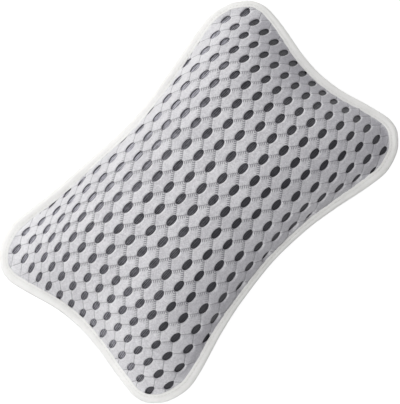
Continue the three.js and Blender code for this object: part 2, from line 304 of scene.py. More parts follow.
def swelling():
    """How far a stuffed cover, held at its seam and at the cups, stands off the plain
    crown, front and rear: a cloth under inside pressure, from a slightly slack start."""
    ring = inset(FOOT_INSET)[::10]
    n = len(ring)
    cuts = [0.1, 0.22, 0.34, 0.46, 0.57, 0.67, 0.76, 0.84, 0.9, 0.95, 0.98]
    verts, faces = [], []
    for side in (1, -1):
        x, y = np.zeros(1), np.zeros(1)
        verts.append((0, 0, float(seam_z(0) + 0.95 * (plain_z(side, x, y)[0] - seam_z(0)))))
        for c in cuts:
            x, y = ring[:, 0] * c, ring[:, 1] * c
            z = seam_z(x) + 0.95 * (plain_z(side, x, y) - seam_z(x))
            verts += list(zip(x, y, z))
    rim = len(verts)
    verts += list(zip(ring[:, 0], ring[:, 1], seam_z(ring[:, 0])))
    block = 1 + n * len(cuts)
    for side, start in ((1, 0), (-1, block)):
        at = lambda r, k: (start + 1 + r * n + k % n) if r < len(cuts) else rim + k % n
        for k in range(n):
            f = [(start, at(0, k + 1), at(0, k))]
            for r in range(len(cuts)):
                f.append((at(r, k), at(r, k + 1), at(r + 1, k + 1), at(r + 1, k)))
            faces += f if side > 0 else [q[::-1] for q in f]
    body = new_object("cover_start", verts, faces)
    mod = body.modifiers.new("even", "REMESH")
    mod.mode, mod.voxel_size = "VOXEL", 0.005
    bpy.context.view_layer.update()
    mesh = evaluated_mesh(body)
    bpy.data.objects.remove(body)
    start = np.empty(len(mesh.vertices) * 3)
    mesh.vertices.foreach_get("co", start)
    start = start.reshape(-1, 3)
    cloth = bpy.data.objects.new("cover_cloth", mesh)
    scene.collection.objects.link(cloth)
    p = start / MM
    foot = inset(FOOT_INSET)[::4]
    near = np.sqrt(((p[:, None, :2] - foot[None]) ** 2).sum(2)).min(1)
    held = (near < 6) & (np.abs(p[:, 2] - seam_z(p[:, 0])) < 7)
    for cx, cy in CUPS:
        held |= (np.hypot(p[:, 0] - cx, p[:, 1] - cy) < 17) & (p[:, 2] < 24)
    group = cloth.vertex_groups.new(name="held")
    group.add(np.nonzero(held)[0].tolist(), 1.0, "REPLACE")
    mod = cloth.modifiers.new("cloth", "CLOTH")
    s = mod.settings
    s.quality = 6
    s.mass = 0.2
    s.tension_stiffness = s.compression_stiffness = 20
    s.shear_stiffness = 8
    s.bending_stiffness = 1.0
    s.use_pressure = True
    s.uniform_pressure_force = 4.0
    s.effector_weights.gravity = 0
    s.vertex_group_mass = "held"
    mod.collision_settings.use_collision = False
    mod.point_cache.frame_start, mod.point_cache.frame_end = 1, 20
    for f in range(1, 21):
        scene.frame_set(f)
    done = evaluated_mesh(cloth)
    co = np.empty(len(done.vertices) * 3)
    done.vertices.foreach_get("co", co)
    co = co.reshape(-1, 3)
    move = co - start
    length = np.linalg.norm(move, axis=1)
    cap = 0.006
    co = start + move * np.minimum(1, cap / np.maximum(length, 1e-9))[:, None]
    polys = [tuple(f.vertices) for f in done.polygons]
    tree = BVHTree.FromPolygons([tuple(c) for c in co], polys)
    scene.frame_set(1)
    bpy.data.objects.remove(cloth)
    for m in (mesh, done):
        bpy.data.meshes.remove(m)
    fields = []
    gx, gy = np.meshgrid(GX, GY, indexing="ij")
    rho = np.hypot(gx, gy) / R_FOOT(gx, gy)
    for side in (1, -1):
        d = np.zeros_like(gx)
        known = np.zeros(gx.shape, bool)
        for i, x in enumerate(GX):
            for j, y in enumerate(GY):
                if rho[i, j] < 0.99:
                    hit = tree.ray_cast(
                        Vector((x * MM, y * MM, 0.2 * side)), Vector((0, 0, -side))
                    )[0]
                    if hit is not None:
                        d[i, j], known[i, j] = hit.z / MM, True
        d = np.where(known, d - plain_z(side, gx, gy), 0)
        inner = known & (rho < 0.75)
        d = np.where(known, d - np.median(d[inner]), 0)
        hold = smooth((1 - rho) / 0.16)
        if side < 0:
            for cx, cy in CUPS:
                hold = hold * smooth((np.hypot(gx - cx, gy - cy) - 18) / 16)
        fields.append(np.clip(blur(np.clip(d, -4, 4), 1.6), -3, 3) * hold)
    return fields


SWELL = dict(zip((1, -1), swelling()))


def skin(side, x, y):
    """Height of a panel's outer surface."""
    return plain_z(side, x, y) + sample(SWELL[side], x, y)


def skin_normal(side, x, y, h=0.8):
    zx = (skin(side, x + h, y) - skin(side, x - h, y)) / (2 * h)
    zy = (skin(side, x, y + h) - skin(side, x, y - h)) / (2 * h)
    n = np.stack([-zx, -zy, np.ones_like(zx)], -1) * side
    return n / np.linalg.norm(n, axis=-1, keepdims=True)


def steep(side, x, y):
    return 1 / np.maximum(0.3, np.abs(skin_normal(side, x, y)[..., 2]))


def layer(side, depth, packed):
    """Height of a layer below the skin, drawn together where the binding grips it."""

    def z(x, y, share):
        s = skin(side, x, y)
        rise = side * (s - seam_z(x)) - FLANGE_HALF
        apart = np.where(share >= 1, 0, np.clip(rise / 5.0, 0, 1))
        lean = steep(side, x, y)
        deep = depth if side > 0 else depth + 0.9 * smooth((lean - 1.3) / 0.7)  # slacker in the rear wall
        total = packed + (deep * lean - packed) * apart
        return s - side * np.minimum(total, np.maximum(rise, 0) + packed)

    return z


# ---------------------------------------------------------------- lie of the sewn edge
# How the bound edge lies, round the outline from the middle of the +Y side, as Fourier
# series: the angle it hangs down by, degrees, how far it stands out and how high, mm,
# and how far the filling pushes the wall above it out, mm.
HANG = [19.82, -11.97, 2.53, 13.57, 6.03, -6.85, 3.5, 3.42, -3.81, -1.8, -0.96, 3.42, -0.4, 4.37, -1.98]
STAND = [0.43, 1.16, -0.17, 0.27, 0.35, 0.14, -0.09, 0.12, -0.12, 0.6, -0.07,
         0.14, 0.11, -0.15, -0.1, 0.27, -0.31, -0.24, -0.29, 0, 0.09]
LIFT = [-2.0, 3.5, 0.0, -0.5, 0.0]
BULGE = [1.05, -0.95, 0.0, 0.8, 0.0]
LIP = 7.5


def fourier(coef, n):
    a = 2 * np.pi * np.arange(n) / n
    out = np.full(n, coef[0])
    for k in range(1, len(coef) // 2 + 1):
        out += coef[2 * k - 1] * np.cos(k * a) + coef[2 * k] * np.sin(k * a)
    return out


HANG_AT, STAND_AT = np.radians(fourier(HANG, len(FINE))), fourier(STAND, len(FINE))
LIFT_AT, BULGE_AT = fourier(LIFT, len(FINE)), np.maximum(0, fourier(BULGE, len(FINE)))
EASE_AT = 0.2 * np.maximum(0, np.cos(2 * np.pi * np.arange(len(FINE)) / len(FINE)))  # softer foot
R_OUTER = polar_radius(0.0)
EDGE_TREE = KDTree(len(FINE))
for k, (a, b) in enumerate(FINE.tolist()):
    EDGE_TREE.insert((a, b, 0.0), k)
EDGE_TREE.balance()


def settle(points):
    """Moves points near the edge to where the sewn edge hangs."""
    p = np.array(points, float)
    near = np.nonzero(np.hypot(p[:, 0], p[:, 1]) > R_OUTER(p[:, 0], p[:, 1]) - 80)[0]
    xy = p[near, :2]
    k = np.array([EDGE_TREE.find((a, b, 0.0))[1] for a, b in xy.tolist()], int)
    n = NORM[k]
    d = LIP + ((xy - FINE[k]) * n).sum(1)
    turn = HANG_AT[k] * smooth((d + 3) / 4)
    mid = seam_z(FINE[k, 0])
    h = p[near, 2] - mid
    over = np.maximum(0, h - FLANGE_HALF)
    h = h - over * EASE_AT[k] * smooth((d + 14) / 12)
    # Only what the tape grips turns; the rear wall behind it follows its foot unturned.
    low = np.maximum(h, -FLANGE_HALF - 1.6 * smooth((d + 1.0) / 0.5))
    foot, held = HANG_AT[k] * smooth(2.5 / 4), np.maximum(h, -FLANGE_HALF)
    wall, share = np.where(d < -0.5, smooth(-h / FLANGE_HALF), 0), smooth((d + 14) / 13.5)
    side = (d * (np.cos(turn) - 1) + low * np.sin(turn)) * (1 - wall)
    side += (-0.5 * (np.cos(foot) - 1) + held * np.sin(foot)) * wall * share
    drop = (low * (np.cos(turn) - 1) - d * np.sin(turn)) * (1 - wall)
    drop += (held * (np.cos(foot) - 1) + 0.5 * np.sin(foot)) * wall * share
    out = side + STAND_AT[k] * smooth((d + 16) / 16)
    out += BULGE_AT[k] * smooth((h - FLANGE_HALF) / 7) * smooth((d + 24) / 18) * smooth((1 - d) / 3)
    p[near, :2] = xy + n * out[:, None]
    p[near, 2] = mid + h + drop + LIFT_AT[k] * smooth((d + 30) / 32)
    return p


# ------------------------------------------------------------------- fabric lattice
# The eyelets stand at whole (i, j) with i + j even. Power series carry the lattice
# over the crown, along the pillow (X) and across it (Y): one row per power of i.
LAT_X = [
    [2.99, -3.24, 0.26, 1.7, 3.92, -11.26, -1.22, 14.77, -0.73, -6.32],
    [166.52, -9.07, -14.3, 13.19, -9.79, -9.33, 27.49, 3.1, -11.19],
    [0.01, -7.93, 3.39, -2.66, -3.93, 2.11, 0.28, 6.25],
    [-2.88, 22.45, 47.38, -13.0, -67.1, -3.08, 15.59],
    [6.75, 43.03, -10.31, -27.93, 3.07, -14.82],
    [-51.0, -24.02, 29.2, 14.54, 23.14],
    [-3.11, -37.84, 5.35, 35.49],
    [35.36, 6.5, -32.64],
    [0.17, 4.37],
    [-0.04],
]
LAT_Y = [
    [-5.13, -96.31, 1.89, 4.42, 10.83, 41.35, -2.8, -36.48, -4.94, 4.68],
    [0.72, -5.93, -3.6, 1.52, 27.15, 2.37, -23.71, 1.17, 5.01],
    [5.42, -17.89, -33.93, -12.41, -11.11, -11.99, 21.82, 26.23],
    [-10.84, 39.06, 14.16, -33.1, -5.7, -0.98, 11.19],
    [-6.17, 99.23, 51.48, -21.79, -22.89, -29.28],
    [18.35, -46.21, -43.37, 29.58, -12.73],
    [-0.46, -91.25, -10.86, 38.88],
    [-14.72, 12.95, 34.61],
    [3.76, 20.7],
    [4.32],
]
UNIT_I, UNIT_J = 16.15, 6.33  # lattice units on the cloth
EYE_L, EYE_W, EYE_POW = 0.325, 0.485, 0.45  # half length, half width of an eyelet, in units
LADDER_END = 0.235  # where the drawn-thread ladders meet an eyelet's long axis
LEAN = (0.05, 0.09)  # how far its wall leans in, along and across
SKEW = 0.3  # mm


def on_panel(side, i, j):
    a, b = i / 10.0, j / 15.0
    out = []
    for rows in (LAT_X, LAT_Y):
        total = np.zeros_like(a)
        for row in rows[::-1]:
            inner = np.zeros_like(a)
            for c in row[::-1]:
                inner = inner * b + c
            total = total * a + inner
        out.append(total)
    return out[0], (out[1] if side > 0 else -out[1])


LADDER_A = np.array([LADDER_END * UNIT_I, UNIT_J])
LADDER_B = np.array([(1 - LADDER_END) * UNIT_I, 0.0])
LADDER_LEN = float(np.linalg.norm(LADDER_B - LADDER_A))
LADDER_E = (LADDER_B - LADDER_A) / LADDER_LEN
LADDER_N = np.array([-LADDER_E[1], LADDER_E[0]])


def eye_half(s):
    """Half width of an eyelet's opening at s along it."""
    return EYE_W * (1 - min(1.0, abs(s) / EYE_L) ** 2) ** EYE_POW


def eye_reach(t):
    """Half length of an eyelet's opening at t across it."""
    return EYE_L * math.sqrt(1 - min(1.0, abs(t) / EYE_W) ** (1 / EYE_POW))


def ladder_t(s):
    return (1 - LADDER_END - abs(s)) / (1 - 2 * LADDER_END)


def cell_template():
    """One cell between four eyelets: local (s, t) points, the centre of the eyelet a rim
    point belongs to, its faces, and fewer, larger faces over the same outline."""
    n1, n2 = 4, 10
    lo, hi = LADDER_END, EYE_L
    for _ in range(60):  # where a ladder leaves the eyelet's edge
        mid = (lo + hi) / 2
        lo, hi = (mid, hi) if 1 - eye_half(mid) < ladder_t(mid) else (lo, mid)
    leave = (lo + hi) / 2
    left = [-(1 - leave) + (1 - 2 * leave) * k / n1 for k in range(n1)]
    mid = [-leave * math.cos(math.pi * k / n2) for k in range(n2 + 1)]
    cols = left + mid + [-s for s in left[::-1]]
    half = [0, 0.04, 0.1, 0.18, 0.31]
    rows = half + [0.5] + [1 - g for g in half[::-1]]
    pts, eyes, index = [], [], {}
    last, end = len(cols) - 1, len(rows) - 1
    for k, s in enumerate(cols):
        top = 1 - eye_half(s) if abs(s) < leave - 1e-9 else ladder_t(s)
        for r, g in enumerate(rows):
            t = top * (2 * g - 1)
            eye = (np.nan, np.nan)
            at = s
            if k in (0, last):
                at = math.copysign(1 - eye_reach(t), s)
                eye = (math.copysign(1, s), 0)
            elif abs(s) <= leave + 1e-9 and r in (0, end):
                eye = (0, -1 if r == 0 else 1)
            index[k, r] = len(pts)
            pts.append((at, t))
            eyes.append(eye)
    sets = []
    for lines in (range(end + 1), (0, len(half), end)):
        faces = []
        for k in range(last):
            for r, q in zip(lines[:-1], lines[1:]):
                near = [index[k, g] for g in (range(r, q + 1) if k == 0 else (r, q))]
                far = [index[k + 1, g] for g in (range(r, q + 1) if k == last - 1 else (r, q))]
                faces.append(tuple(far + near[::-1]))
        sets.append(faces)
    return np.array(pts), np.array(eyes, float), *sets


def eyelet_gap(s, t):
    """Distance from the nearest eyelet's edge, mm."""
    a, b = EYE_L * UNIT_I, EYE_W * UNIT_J
    out = np.full(np.shape(s), np.inf)
    for cs, ct in ((0, 1), (1, 0)):
        x, y = (np.abs(s) - cs) * UNIT_I, (np.abs(t) - ct) * UNIT_J
        q = np.sqrt((x / a) ** 2 + (y / b) ** 2)
        slope = np.sqrt((x / a**2) ** 2 + (y / b**2) ** 2)
        out = np.minimum(out, (q - 1) * q / np.maximum(slope, 1e-6))
    return np.maximum(out, 0)


def relief(s, t):
    """Height of the knit face over its mean surface, mm."""
    p = np.stack([np.abs(s) * UNIT_I, np.abs(t) * UNIT_J], -1) - LADDER_A
    dist = p @ LADDER_N
    along = p @ LADDER_E
    groove = np.exp(-((dist / 0.6) ** 2)) * smooth((along + 1.0) / 1.0)
    gap = eyelet_gap(s, t)
    rim = np.exp(-((gap / 0.38) ** 2))
    welt = np.exp(-(((gap - 0.95) / 0.6) ** 2))
    room = np.minimum(np.abs(dist), gap)
    return 0.1 * (1 - np.exp(-((room / 1.6) ** 2))) + 0.17 * welt - 0.05 * groove - 0.26 * rim


def mesh_panel(name, side, material, below):
    """The openwork knit face of one panel, as a closed sheet with its eyelets."""
    local, eyes, tfaces, wide_faces = cell_template()
    # Cells that reach the panel, found from the middle outwards.
    cells, seen, queue = [], {(1, 0)}, [(1, 0)]
    reach = R_PANEL
    while queue:
        c = queue.pop()
        x, y = on_panel(side, c[0] + local[:, 0], c[1] + local[:, 1])
        if not (np.hypot(x, y) < reach(x, y)).any():
            continue
        cells.append(c)
        for d in ((1, 1), (1, -1), (-1, 1), (-1, -1), (0, 2), (0, -2)):
            n = (c[0] + d[0], c[1] + d[1])
            if n not in seen and abs(n[0]) < 13 and abs(n[1]) < 20:
                seen.add(n)
                queue.append(n)
    cells.sort()
    centre = np.array(cells, float)
    m = len(local)
    ij = (centre[:, None, :] + local[None]).reshape(-1, 2)
    st = np.broadcast_to(local, (len(cells), m, 2)).reshape(-1, 2)
    key = np.round(ij * 1e4).astype(np.int64)
    _, first, back = np.unique(key, axis=0, return_index=True, return_inverse=True)
    back = back.ravel()
    ij_u, st_u = ij[first], st[first]
    eye_u = (ij - st + np.tile(eyes, (len(cells), 1)))[first]
    is_rim = ~np.isnan(eye_u[:, 0])
    # Eyelets that run under the binding are drawn closed by the seam.
    e = np.where(is_rim[:, None], eye_u, 0)
    ex, ey = on_panel(side, e[:, 0], e[:, 1])
    open_share = np.clip((R_FOOT(ex, ey) - np.hypot(ex, ey) + (1.0 if side > 0 else -1.2)) / 3.0, 0.12, 1)
    squeeze = np.stack([0.6 + 0.4 * open_share, open_share], 1)
    ij_u = np.where(is_rim[:, None], e + (ij_u - e) * squeeze, ij_u)
    # Points past the panel's raw edge are drawn back to it along the lattice.
    lam = np.linspace(0.5, 1.0, 41)
    out_at = np.full(len(ij_u), np.inf)
    for a in lam:
        x, y = on_panel(side, ij_u[:, 0] * a, ij_u[:, 1] * a)
        outside = np.hypot(x, y) >= reach(x, y)
        out_at = np.where(outside & np.isinf(out_at), a, out_at)
    cut = np.isfinite(out_at)
    lo, hi = np.where(cut, out_at - 0.0125, 1), np.where(cut, out_at, 1)
    for _ in range(14):
        mid = (lo + hi) / 2
        x, y = on_panel(side, ij_u[:, 0] * mid, ij_u[:, 1] * mid)
        outside = np.hypot(x, y) >= reach(x, y)
        lo, hi = np.where(outside, lo, mid), np.where(outside, mid, hi)
    scale = np.where(cut, lo, 1)
    x, y = on_panel(side, ij_u[:, 0] * scale, ij_u[:, 1] * scale)
    border = cut.copy()
    if side < 0:  # holes for the cups' eyelets
        for cx, cy in CUPS:
            r = np.hypot(x - cx, y - cy)
            close = r < 7.4
            k = np.where(close, 7.4 / np.maximum(r, 1e-6), 1)
            x, y = cx + (x - cx) * k, cy + (y - cy) * k
            border |= close
    faces, corners, under, under_corners = [], [], [], []
    for c in range(len(cells)):
        whole = not border[back[c * m : (c + 1) * m]].any()
        for fine, f in [(True, f) for f in tfaces] + ([(False, f) for f in wide_faces] if whole else []):
            g = [c * m + k for k in f]
            v = [back[k] for k in g]
            if all(border[k] for k in v):
                continue
            if fine:
                faces.append(v)
                corners.append(g)
            if not (fine and whole):
                under.append(v)
                under_corners.append(g)
    used = np.zeros(len(x), bool)
    for f in faces:
        used[f] = True
    renum = np.cumsum(used) - 1
    faces = [[int(renum[k]) for k in f] for f in faces]
    under = [[int(renum[k]) for k in f] for f in under]
    x, y, border, st_v, ij_v = x[used], y[used], border[used], st_u[used], ij_u[used]
    eye_v, is_rim = eye_u[used], is_rim[used]
    n0 = len(x)
    nrm = skin_normal(side, x, y)
    base = np.stack([x, y, skin(side, x, y)], 1)
    flat = smooth((np.hypot(x, y) / R_FOOT(x, y) - 0.985) / 0.03)  # lies flat under the tape
    h = relief(st_v[:, 0], st_v[:, 1]) * (1 - 0.7 * flat)
    h = np.where(border, 0, h)
    top = base + nrm * h[:, None]
    edges = {}
    for f in faces:
        for a, b in zip(f, f[1:] + f[:1]):
            edges[a, b] = edges.get((a, b), 0) + 1
    open_edges = [e for e in edges if (e[1], e[0]) not in edges]
    rim = sorted({a for e in open_edges for a in e})
    # The eyelet's wall leans in below its rounded lip.
    rim_a = np.array(rim)
    eye = np.where(is_rim[rim_a, None], eye_v[rim_a], ij_v[rim_a])

    def ring(share, depth):
        p = eye + (ij_v[rim_a] - eye) * (1 - share * np.array(LEAN))
        rx, ry = on_panel(side, p[:, 0], p[:, 1])
        ry = ry + share * SKEW  # the spacer yarns lean, so one side of the wall shows
        rx = np.where(border[rim_a], x[rim_a], rx)
        ry = np.where(border[rim_a], y[rim_a], ry)
        b = np.stack([rx, ry, skin(side, rx, ry)], 1)
        return b - skin_normal(side, rx, ry) * depth

    middle = ring(0.85, 0.72)
    low = ring(1.0, FACE_T)
    bottom = base - nrm * FACE_T
    bottom[rim_a] = low
    verts = settle(np.concatenate([top, bottom, middle]))
    at_mid = {a: 2 * n0 + k for k, a in enumerate(rim)}
    rand = np.array([math.sin(12.9898 * c[0] + 78.233 * c[1]) * 43758.5453 for c in cells])
    rand -= np.floor(rand)
    crown = front_crown(x, y) if side > 0 else rear_crown(x, y)
    zone = smooth((crown - 0.25) / 0.5)
    all_faces, uv_cell, uv_zone = [], [], []
    scale_uv = np.array([UNIT_I, UNIT_J])
    flip = side > 0
    for f, g in zip(faces, corners):
        order = range(len(f) - 1, -1, -1) if flip else range(len(f))
        all_faces.append([f[k] for k in order])
        for k in order:
            uv_cell.append(st[g[k]] * scale_uv)
            uv_zone.append((zone[f[k]], rand[g[k] // m]))
    top_count = len(all_faces)
    # Painted shade: the lower half of each eyelet's wall, and the front sheet's underside, take the dark base knit
    # material (below) in place of the white face knit.
    painted_shade_slot = [0] * top_count + [1 if side > 0 else 0] * len(under) + [0, 1] * len(open_edges)
    for f, g in zip(under, under_corners):
        order = range(len(f)) if flip else range(len(f) - 1, -1, -1)
        all_faces.append([f[k] + n0 for k in order])
        for k in order:
            uv_cell.append(st[g[k]] * scale_uv)
            uv_zone.append((0.0, rand[g[k] // m]))
    for a, b in open_edges:
        for upper, lower in (
            ((a, b), (at_mid[a], at_mid[b])),
            ((at_mid[a], at_mid[b]), (a + n0, b + n0)),
        ):
            quad = [upper[0], upper[1], lower[1], lower[0]]
            ab = [a, b, b, a]
            if not flip:
                quad, ab = quad[::-1], ab[::-1]
            all_faces.append(quad)
            for k in ab:
                uv_cell.append((0.0, 0.0))
                uv_zone.append((0.0, 0.5))
    # Every face points out of the sheet.
    tri = verts[np.array([f[:3] for f in all_faces[:top_count]])]
    facing = np.cross(tri[:, 1] - tri[:, 0], tri[:, 2] - tri[:, 0])
    if (facing[:, 2] * side).sum() < 0:
        all_faces = [f[::-1] for f in all_faces]
        uv_cell, uv_zone = flipped(uv_cell, all_faces), flipped(uv_zone, all_faces)
    keep = np.zeros(len(verts), bool)
    for f in all_faces:
        keep[f] = True
    renum = np.cumsum(keep) - 1
    all_faces = [[int(renum[k]) for k in f] for f in all_faces]
    return new_object(
        name, verts[keep], all_faces, [material, below],
        uvs={"Fabric": uv_cell, "Zone": uv_zone}, sharp=70, face_mats=painted_shade_slot,
    )


def flipped(values, faces):
    out, k = [], 0
    for f in faces:
        out += values[k : k + len(f)][::-1]
        k += len(f)
    return out


# ------------------------------------------------------------------------ materials
class Paint:
    """A procedural material: its nodes, with short names for the usual steps."""

    def __init__(self, name):
        self.mat = bpy.data.materials.new(name)
        self.mat.use_nodes = True
        self.tree = self.mat.node_tree
        self.tree.nodes.clear()
        out = self.tree.nodes.new("ShaderNodeOutputMaterial")
        self.bsdf = self.tree.nodes.new("ShaderNodeBsdfPrincipled")
        self.tree.links.new(self.bsdf.outputs[0], out.inputs["Surface"])

    def put(self, socket, value):
        if isinstance(value, bpy.types.NodeSocket):
            self.tree.links.new(value, socket)
        else:
            socket.default_value = value

    def math(self, op, *args, clamp=False):
        n = self.tree.nodes.new("ShaderNodeMath")
        n.operation, n.use_clamp = op, clamp
        for k, a in enumerate(args):
            self.put(n.inputs[k], a)
        return n.outputs[0]

    def add(self, a, b):
        return self.math("ADD", a, b)

    def sub(self, a, b):
        return self.math("SUBTRACT", a, b)

    def mul(self, a, b):
        return self.math("MULTIPLY", a, b)

    def ramp(self, value, low, high, to=(0.0, 1.0)):
        n = self.tree.nodes.new("ShaderNodeMapRange")
        n.interpolation_type = "SMOOTHSTEP"
        for k, v in enumerate((value, low, high, *to)):
            self.put(n.inputs[k], v)
        return n.outputs[0]

    def uv(self, name):
        n = self.tree.nodes.new("ShaderNodeUVMap")
        n.uv_map = name
        s = self.tree.nodes.new("ShaderNodeSeparateXYZ")
        self.tree.links.new(n.outputs[0], s.inputs[0])
        return n.outputs[0], s.outputs[0], s.outputs[1]

    def object_coords(self):
        n = self.tree.nodes.new("ShaderNodeTexCoord")
        s = self.tree.nodes.new("ShaderNodeSeparateXYZ")
        self.tree.links.new(n.outputs["Object"], s.inputs[0])
        return n.outputs["Object"], s.outputs

    def normal(self):
        return self.tree.nodes.new("ShaderNodeTexCoord").outputs["Normal"]

    def dot(self, vector, way):
        n = self.tree.nodes.new("ShaderNodeVectorMath")
        n.operation = "DOT_PRODUCT"
        self.put(n.inputs[0], vector)
        self.put(n.inputs[1], way)
        return n.outputs["Value"]

    def noise(self, scale, detail=2.0, rough=0.5, vector=None):
        n = self.tree.nodes.new("ShaderNodeTexNoise")
        self.put(n.inputs["Scale"], scale)
        self.put(n.inputs["Detail"], detail)
        self.put(n.inputs["Roughness"], rough)
        if vector is not None:
            self.tree.links.new(vector, n.inputs["Vector"])
        return n.outputs[0]

    def voronoi(self, scale, vector=None, feature="F1"):
        n = self.tree.nodes.new("ShaderNodeTexVoronoi")
        n.feature = feature
        self.put(n.inputs["Scale"], scale)
        if vector is not None:
            self.tree.links.new(vector, n.inputs["Vector"])
        return n.outputs["Distance"]

    def mix(self, fac, a, b):
        n = self.tree.nodes.new("ShaderNodeMix")
        n.data_type = "RGBA"
        self.put(n.inputs[0], fac)
        self.put(n.inputs[6], a)
        self.put(n.inputs[7], b)
        return n.outputs[2]

    def bump(self, height, strength, distance, below=None):
        n = self.tree.nodes.new("ShaderNodeBump")
        self.put(n.inputs["Strength"], strength)
        self.put(n.inputs["Distance"], distance)
        self.put(n.inputs["Height"], height)
        if below is not None:
            self.tree.links.new(below, n.inputs["Normal"])
        return n.outputs[0]

    def set(self, **values):
        for key, v in values.items():
            self.put(self.bsdf.inputs[key.replace("_", " ")], v)
        return self


def rgb(r, g, b):
    return (r, g, b, 1.0)


def face_knit():
    p = Paint("white_spacer_knit")
    _, u, v = p.uv("Fabric")
    _, zone, rand = p.uv("Zone")
    obj, _ = p.object_coords()
    au, av = p.math("ABSOLUTE", u), p.math("ABSOLUTE", v)
    du, dv = p.sub(au, float(LADDER_A[0])), p.sub(av, float(LADDER_A[1]))
    dist = p.math("ABSOLUTE", p.add(p.mul(du, float(LADDER_N[0])), p.mul(dv, float(LADDER_N[1]))))
    along = p.add(p.mul(du, float(LADDER_E[0])), p.mul(dv, float(LADDER_E[1])))
    on = p.mul(p.ramp(along, -0.6, 0.1), p.ramp(along, LADDER_LEN + 0.6, LADDER_LEN - 0.1))
    # Short drawn-thread ticks across the ladder line, on the side they are pulled to, and the ladder line itself,
    # painted near black as painted shade in the small gaps and the groove.
    wave = p.math("SINE", p.add(p.mul(along, 2 * math.pi / (LADDER_LEN / 7.5)), p.mul(rand, 6.28)))
    tick = p.mul(p.ramp(wave, 0.05, 0.65), on)
    pulled = p.ramp(u, -1.5, 1.5, (0.45, 1.0))
    near = p.ramp(dist, p.ramp(u, -1.5, 1.5, (0.9, 2.9)), p.ramp(u, -1.5, 1.5, (0.4, 1.6)))
    far = p.ramp(dist, 5.2, 1.0)
    line = p.mul(p.ramp(dist, 0.4, 0.1), on)
    ticks = p.mul(p.mul(tick, pulled), zone)
    gap_shade = p.math(
        "MAXIMUM", p.mul(line, 0.6),
        p.math("MAXIMUM", p.mul(p.mul(ticks, near), 0.86), p.mul(p.mul(ticks, far), 0.22)),
    )
    # Fine knit stitches, mottled a little from stitch to stitch.
    wale = p.math("SINE", p.mul(u, 2 * math.pi / 0.95))
    course = p.math("SINE", p.add(p.mul(v, 2 * math.pi / 0.8), p.mul(wale, 0.6)))
    stitch = p.add(p.mul(wale, 0.5), p.mul(course, 0.5))
    cloud = p.noise(120.0, 3.0, 0.6, obj)
    fine = p.noise(900.0, 2.0, 0.6, obj)
    grain = p.noise(430.0, 3.0, 0.65, obj)
    tone = p.add(p.mul(cloud, 0.14), p.add(p.mul(fine, 0.46), p.add(p.mul(grain, 0.32), p.mul(rand, 0.08))))
    body = p.mix(p.ramp(tone, 0.36, 0.64), rgb(0.52, 0.512, 0.54), rgb(0.74, 0.734, 0.756))
    body = p.mix(p.ramp(stitch, 0.9, -0.9, (0.0, 0.14)), body, rgb(0.4, 0.4, 0.42))
    # Painted shade and painted light: the knit is painted darker where the crown faces (0.8, -0.6, 0) and lighter
    # where it faces (-0.5, 0.86, 0).
    shade_facing = p.dot(p.normal(), (0.8, -0.6, 0.0))
    body = p.mix(p.ramp(shade_facing, 0.0, 1.0, (0.0, 0.5)), body, rgb(0.28, 0.27, 0.33))
    light_facing = p.dot(p.normal(), (-0.5, 0.86, 0.0))
    body = p.mix(p.ramp(light_facing, 0.0, 1.0, (0.0, 0.4)), body, rgb(0.9, 0.895, 0.905))
    # Painted shade: the ladder's gaps and groove are painted near black.
    colour = p.mix(gap_shade, body, rgb(0.10, 0.10, 0.115))
    height = p.add(p.add(p.mul(stitch, 0.35), p.mul(fine, 0.5)), p.mul(gap_shade, -1.6))
    p.set(
        Base_Color=colour,
        Roughness=p.ramp(tone, 0.2, 0.8, (0.95, 0.8)),
        Normal=p.bump(height, 0.45, 0.00025),
    )
    p.set(Sheen_Weight=0.12, Sheen_Roughness=0.5, Specular_IOR_Level=0.25)
    return p.mat


def base_knit():
    p = Paint("grey_base_knit")
    obj, xyz = p.object_coords()
    a = p.math("SINE", p.mul(p.add(xyz[0], p.mul(xyz[1], 0.7)), 2 * math.pi / 0.0021))
    b = p.math("SINE", p.mul(p.sub(xyz[0], p.mul(xyz[1], 0.7)), 2 * math.pi / 0.0021))
    cloud = p.noise(260.0, 3.0, 0.6, obj)
    fine = p.noise(1100.0, 2.0, 0.6, obj)
    # Painted shade: the knit's openings are painted near black.
    hole_shade = p.ramp(p.add(p.mul(a, b), p.ramp(cloud, 0.3, 0.7, (-0.35, 0.35))), -0.1, 0.35)
    yarn = p.mix(p.ramp(fine, 0.3, 0.7), rgb(0.1, 0.098, 0.114), rgb(0.165, 0.162, 0.184))
    # Painted light and painted shade: the yarn is painted lighter where the crown faces (-0.35, 0.93, 0) and darker
    # where it faces away.
    light_shade_by_facing = p.dot(p.normal(), (-0.35, 0.93, 0.0))
    yarn = p.mix(p.ramp(light_shade_by_facing, 0.0, 0.75), yarn, rgb(0.52, 0.512, 0.575))
    yarn = p.mix(p.ramp(light_shade_by_facing, 0.12, -0.3, (0.0, 0.92)), yarn, rgb(0.03, 0.0295, 0.038))
    colour = p.mix(hole_shade, yarn, rgb(0.013, 0.0125, 0.016))
    height = p.add(p.mul(hole_shade, -1.0), p.mul(fine, 0.5))
    p.set(Base_Color=colour, Roughness=p.ramp(fine, 0.2, 0.8, (0.58, 0.48)),
          Normal=p.bump(height, 0.5, 0.0002))
    p.set(Sheen_Weight=0.14, Sheen_Roughness=0.5, Specular_IOR_Level=0.4)
    return p.mat


